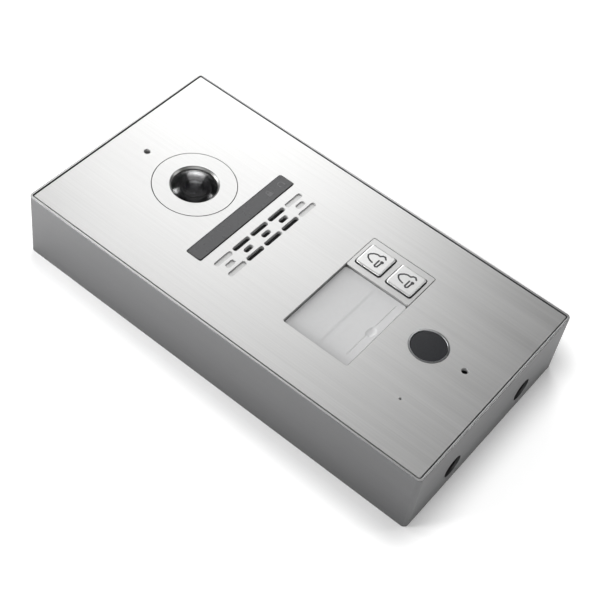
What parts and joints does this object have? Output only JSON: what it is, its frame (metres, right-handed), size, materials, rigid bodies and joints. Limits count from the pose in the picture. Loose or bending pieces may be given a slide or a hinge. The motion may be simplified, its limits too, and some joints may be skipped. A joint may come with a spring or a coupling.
{
  "type": "door intercom panel",
  "caption": "Surface-mounted door intercom panel with domed camera, speaker slots, status strip, backlit name window, call buttons and round touch sensor.",
  "frame": {"origin": "centre of the back face, the face that lies against the wall", "axes": "+X to the panel's right seen from the front, +Y up the panel to the camera end, +Z out of the front face"},
  "size_m": [0.118, 0.222, 0.0395],
  "materials": {
    "box_metal": "satin, fine brushed, light grey",
    "plate_metal": "long straight brushing up the panel",
    "insert_metal": "brushed like the plate, thin dark joint round it",
    "button_face": "metal-coated cap, softly brushed",
    "printed_mark": "dark grey print",
    "gasket_rubber": "black",
    "inner_plastic": "black, fine grain",
    "screw_steel": "bright zinc",
    "black_screw": "blackened",
    "dome_glass": "smoked, polished",
    "lens_glass": "coated lens",
    "barrel_black": "black, satin",
    "circuit_board": "green solder mask",
    "chip_black": "black",
    "connector_cream": "cream",
    "smoked_plastic": "smoked grey, polished",
    "printed_light": "faint light print",
    "diffuser_white": "opal white",
    "led_body": "pale yellow",
    "speaker_cloth": "black woven",
    "cone_paper": "black",
    "magnet_steel": "plated",
    "key_rubber": "grey silicone",
    "contact_gold": "gold plated",
    "clear_cover": "clear, faintly frosted",
    "name_card": "light grey card",
    "ring_metal": "satin grey",
    "sensor_face": "dark grey coated",
    "nut_brass": "turned",
    "microphone_can": "bright",
    "capacitor_sleeve": "dark sleeve",
    "relay_case": "blue",
    "terminal_green": "green",
    "plunger_plastic": "off-white"
  },
  "bodies": {
    "panel": {"surface_box": "box_metal", "front_plate": "plate_metal", "plate_gasket": "gasket_rubber", "module_chassis": "inner_plastic", "rear_cover": "inner_plastic", "rear_cover_seal": "gasket_rubber", "rear_cover_screws": "screw_steel", "panel_screw_top": "screw_steel", "panel_screw_bottom": "black_screw", "camera_ring": "insert_metal", "camera_dome": "dome_glass", "dome_seal": "gasket_rubber", "lens_barrel": "barrel_black", "front_lens": "lens_glass", "lens_holder": "inner_plastic", "camera_board": "circuit_board", "image_sensor": "chip_black", "camera_screws": "screw_steel", "camera_connector": "connector_cream", "status_window": "smoked_plastic", "status_icons": "printed_light", "light_guide": "diffuser_white", "status_board": "circuit_board", "status_leds": "led_body", "speaker_mesh": "speaker_cloth", "speaker_gasket": "gasket_rubber", "speaker_frame": "inner_plastic", "speaker_cone": "cone_paper", "speaker_magnet": "magnet_steel", "button_bezel": "insert_metal", "keypad_mat": "key_rubber", "upper_key_dome": "key_rubber", "lower_key_dome": "key_rubber", "key_board": "circuit_board", "key_contacts": "contact_gold", "name_cards": "name_card", "name_tray": "diffuser_white", "backlight_leds": "led_body", "sensor_ring": "ring_metal", "sensor_disc": "sensor_face", "sensor_module": "inner_plastic", "sensor_nut": "nut_brass", "microphone_boot": "gasket_rubber", "microphone": "microphone_can", "main_board": "circuit_board", "board_chips": "chip_black", "capacitors": "capacitor_sleeve", "lock_relay": "relay_case", "board_screws": "screw_steel", "terminal_block": "terminal_green", "terminal_screws": "screw_steel", "tamper_switch": "inner_plastic"},
    "upper_button": {"upper_call_button": "button_face", "upper_bell_icon": "printed_mark"},
    "lower_button": {"lower_call_button": "button_face", "lower_bell_icon": "printed_mark"},
    "cover": {"name_cover": "clear_cover"},
    "tamper": {"tamper_plunger": "plunger_plastic"}
  },
  "joints": [
    {"name": "upper_call_press", "type": "slide", "parent": "panel", "child": "upper_button", "axis": [0, 0, -1], "range_m": [0, 0.0008], "stiffness_N_per_m": 1800, "springref_m": -0.0006, "deforming": ["upper_key_dome"]},
    {"name": "lower_call_press", "type": "slide", "parent": "panel", "child": "lower_button", "axis": [0, 0, -1], "range_m": [0, 0.0008], "stiffness_N_per_m": 1800, "springref_m": -0.0006, "deforming": ["lower_key_dome"]},
    {"name": "name_cover_lift", "type": "slide", "parent": "panel", "child": "cover", "axis": [0, 0, 1], "range_m": [0, 0.012]},
    {"name": "tamper_press", "type": "slide", "parent": "panel", "child": "tamper", "axis": [0, 0, 1], "range_m": [0, 0.0006], "stiffness_N_per_m": 400, "springref_m": -0.001}
  ]
}
